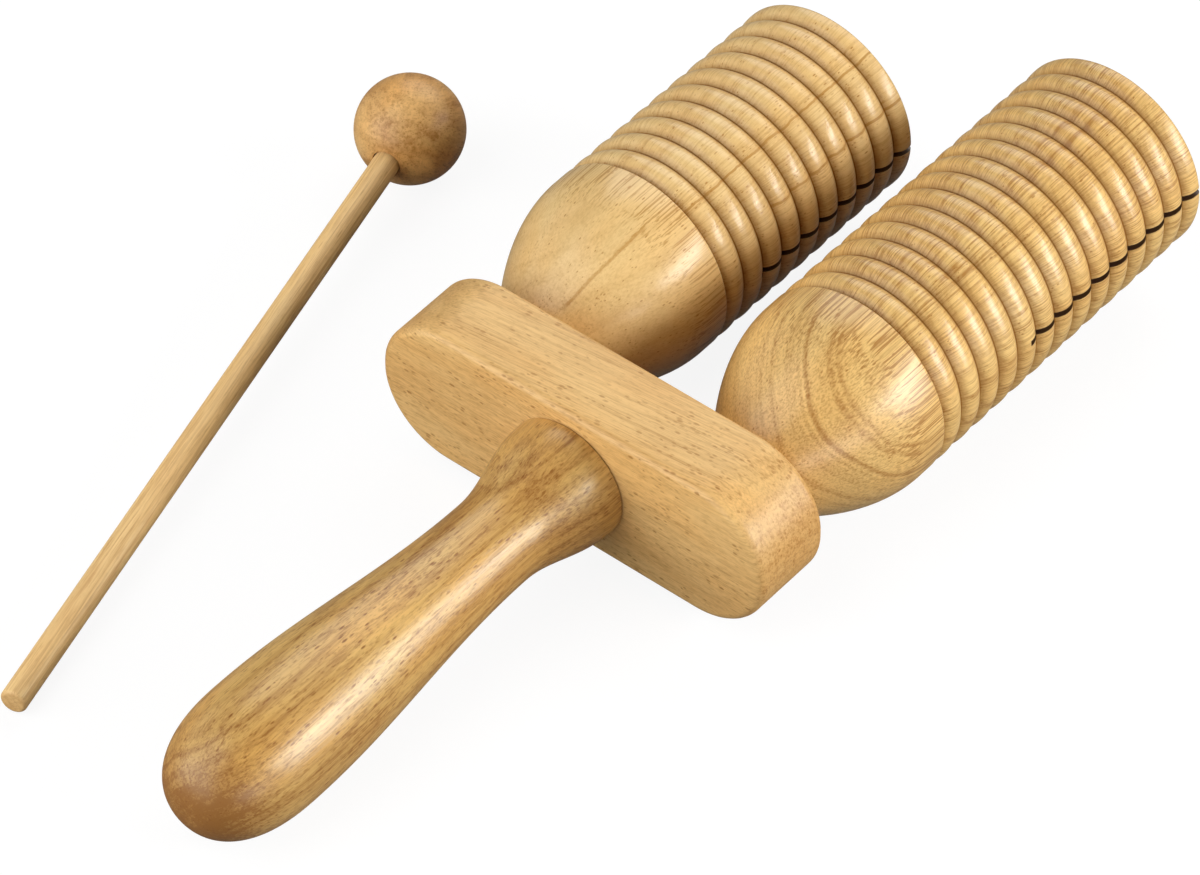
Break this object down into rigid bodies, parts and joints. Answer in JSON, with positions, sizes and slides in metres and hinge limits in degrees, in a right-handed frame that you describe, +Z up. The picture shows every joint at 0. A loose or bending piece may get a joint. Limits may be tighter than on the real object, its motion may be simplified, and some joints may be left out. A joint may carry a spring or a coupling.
{
  "type": "wooden agogo",
  "caption": "Hollow ridged wooden tubes of unequal length on a crossbar with a turned handle, struck or scraped with a loose ball-headed beater.",
  "frame": {"origin": "point on the table under the middle of the whole set's box, instrument and beater together", "axes": "+Z up, +Y from the handle towards the tubes' mouths along the table, +X towards the longer, lower tube"},
  "size_m": [0.1742, 0.2834, 0.0555],
  "materials": {
    "tube_wood": "pale golden hardwood, grain along the tube, satin lacquer",
    "crossbar_wood": "pale golden hardwood with dark pore dashes, grain along the bar, satin lacquer",
    "handle_wood": "orange-tan hardwood with dark pore flecks, gloss lacquer",
    "ball_wood": "brown end-grain hardwood, satin",
    "stick_wood": "pale straight-grained dowel, matt",
    "screw_steel": "zinc-plated steel"
  },
  "bodies": {
    "instrument": {"crossbar": "crossbar_wood", "handle": "handle_wood", "tube_low": "tube_wood", "tube_high": "tube_wood", "screw_low": "screw_steel", "screw_high": "screw_steel", "washer_low": "screw_steel", "washer_high": "screw_steel"},
    "beater": {"beater_ball": "ball_wood", "beater_stick": "stick_wood"}
  },
  "joints": [
    {"name": "beater_lift", "type": "slide", "parent": "instrument", "child": "beater", "axis": [0, 0, 1], "range_m": [0, 0.12]}
  ]
}
